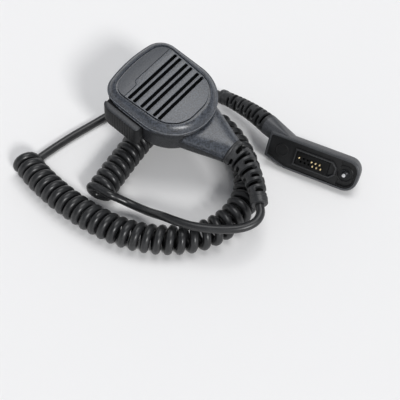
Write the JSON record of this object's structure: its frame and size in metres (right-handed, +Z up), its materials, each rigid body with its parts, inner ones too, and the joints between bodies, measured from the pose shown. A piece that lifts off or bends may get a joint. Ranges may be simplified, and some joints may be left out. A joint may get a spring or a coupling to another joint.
{
  "type": "remote speaker microphone",
  "caption": "Handheld speaker microphone with slotted grille, side push-to-talk bar, swivel back clip, curly cord and angled side-mount plug with gold contacts and captive thumb screw.",
  "frame": {"origin": "in the jaw of the back clip, on the underside of the clip's fixed plate above the middle of the lever's jaw", "axes": "+Z up from the surface that the cord and plug lie on, +Y towards the top of the head in plan, +X to the right of the face seen with the head up"},
  "size_m": [0.1365, 0.1706, 0.0595],
  "materials": {
    "case_plastic": "fine moulded texture, charcoal",
    "trim_plastic": "satin charcoal",
    "plate_plastic": "smooth satin charcoal, left bare",
    "plug_plastic": "satin black",
    "boot_rubber": "matt black",
    "cord_jacket": "satin black",
    "felt": "matt black",
    "cone_paper": "matt dark grey",
    "magnet": "dull grey",
    "capsule_metal": "bright",
    "board": "green lacquer",
    "pale_plastic": "ivory",
    "steel": "plated",
    "gold": "gold plated"
  },
  "bodies": {
    "case": {"front_shell": "case_plastic", "name_plate": "plate_plastic", "dust_screen": "felt", "rear_shell": "case_plastic", "shell_gasket": "boot_rubber", "case_screws": "steel", "switch_body": "plug_plastic", "speaker_felt": "felt", "speaker_frame": "steel", "speaker_cone": "cone_paper", "speaker_magnet": "magnet", "mic_capsule": "capsule_metal", "capsule_boot": "boot_rubber", "circuit_board": "board", "board_connector": "pale_plastic", "cable_tail": "cord_jacket", "mic_boot": "boot_rubber", "mic_lead": "cord_jacket", "cord_curls": "cord_jacket", "plug_lead": "cord_jacket", "plug_boot": "boot_rubber", "plug_housing": "plug_plastic", "plug_lid": "plug_plastic", "plug_gasket": "boot_rubber", "contact_block": "plug_plastic", "plug_board": "board", "clip_screw": "steel"},
    "button": {"ptt_button": "trim_plastic"},
    "plunger": {"switch_plunger": "pale_plastic"},
    "clip": {"clip_base": "trim_plastic", "clip_pin": "steel", "clip_spring": "steel"},
    "jaw": {"clip_lever": "trim_plastic"},
    "screw_carrier": {"retaining_ring": "steel"},
    "screw": {"thumb_screw": "steel"},
    "contacts": {"contact_pins": "gold"}
  },
  "joints": [
    {"name": "ptt_press", "type": "slide", "parent": "case", "child": "button", "axis": [0.9945, -0.0214, 0.1023], "range_m": [0, 0.0012], "stiffness_N_per_m": 1500, "springref_m": -0.0012},
    {"name": "switch_press", "type": "slide", "parent": "case", "child": "plunger", "axis": [0.9945, -0.0214, 0.1023], "range_m": [0, 0.0012]},
    {"name": "clip_swivel", "type": "hinge", "parent": "case", "child": "clip", "pos_m": [0, 0.01542, 0.00322], "axis": [-0.1045, -0.2034, 0.9735], "range_deg": [-45, 45]},
    {"name": "clip_open", "type": "hinge", "parent": "clip", "child": "jaw", "pos_m": [0.00038, 0.02222, 0.00098], "axis": [0.9945, -0.0214, 0.1023], "range_deg": [0, 12], "stiffness_Nm_per_rad": 0.12, "springref_deg": -20.05},
    {"name": "screw_float", "type": "slide", "parent": "case", "child": "screw_carrier", "axis": [-0.8652, -0.176, 0.4695], "range_m": [0, 0.0009]},
    {"name": "screw_turn", "type": "hinge", "parent": "screw_carrier", "child": "screw", "pos_m": [0.03696, -0.08989, -0.00923], "axis": [-0.8652, -0.176, 0.4695], "continuous": true},
    {"name": "contact_press", "type": "slide", "parent": "case", "child": "contacts", "axis": [0.8652, 0.176, -0.4695], "range_m": [0, 0.0008], "stiffness_N_per_m": 2500, "springref_m": -0.0008}
  ],
  "couplings": [
    {"joint": "switch_press", "follows": "ptt_press", "ratio": 1}
  ]
}
